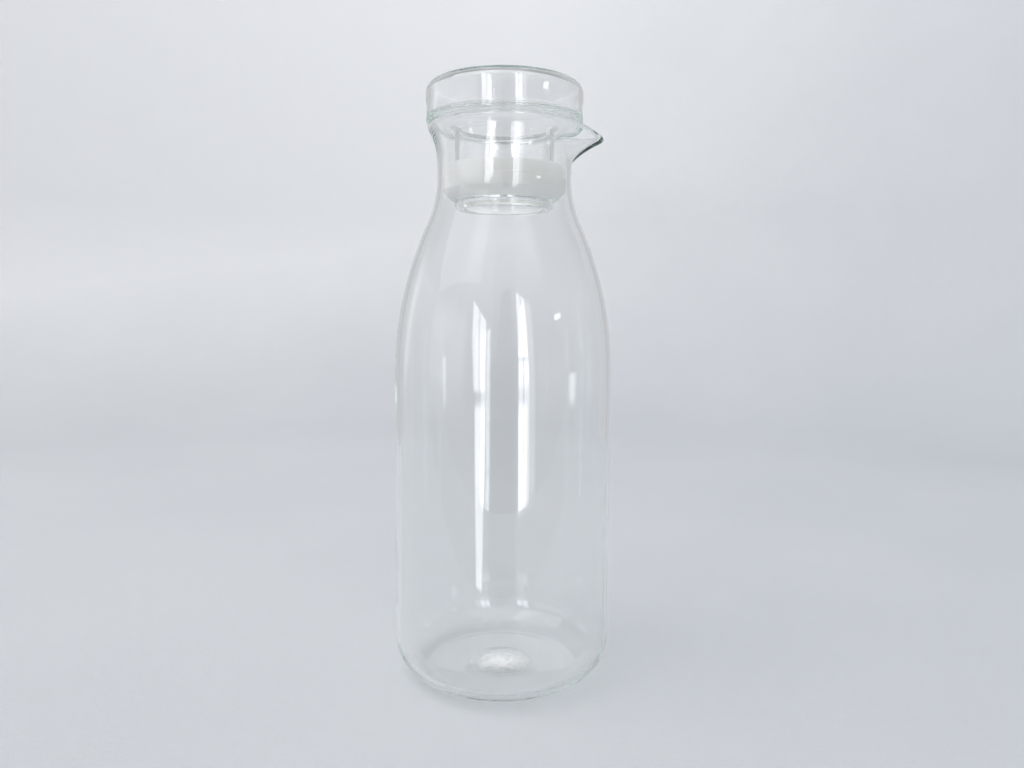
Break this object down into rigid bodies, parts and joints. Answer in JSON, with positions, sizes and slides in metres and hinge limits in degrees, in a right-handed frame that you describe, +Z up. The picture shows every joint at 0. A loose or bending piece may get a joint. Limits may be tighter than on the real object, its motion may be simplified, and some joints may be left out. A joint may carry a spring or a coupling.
{
  "type": "salad dressing bottle",
  "caption": "Clear glass dressing bottle with a straight round body, long shoulder, pulled pouring spout and a hollow glass stopper lid sealed by a soft ring.",
  "frame": {"origin": "middle of the foot, on the surface that the bottle stands on", "axes": "+Z up along the bottle's axis, +X towards the pouring spout"},
  "size_m": [0.075, 0.075, 0.2029],
  "materials": {
    "bottle_glass": "clear blown glass, fire-polished",
    "lid_glass": "clear blown glass, fire-polished",
    "soft_ring": "translucent milky moulded silicone, satin"
  },
  "bodies": {
    "bottle": {"bottle": "bottle_glass"},
    "lid": {"lid": "lid_glass"},
    "sealing_ring": {"sealing_ring": "soft_ring"}
  },
  "joints": [
    {"name": "lid_lift", "type": "slide", "parent": "bottle", "child": "lid", "axis": [0, 0, 1], "range_m": [0, 0.06]},
    {"name": "ring_pull", "type": "slide", "parent": "lid", "child": "sealing_ring", "axis": [0, 0, -1], "range_m": [0, 0.02]}
  ]
}
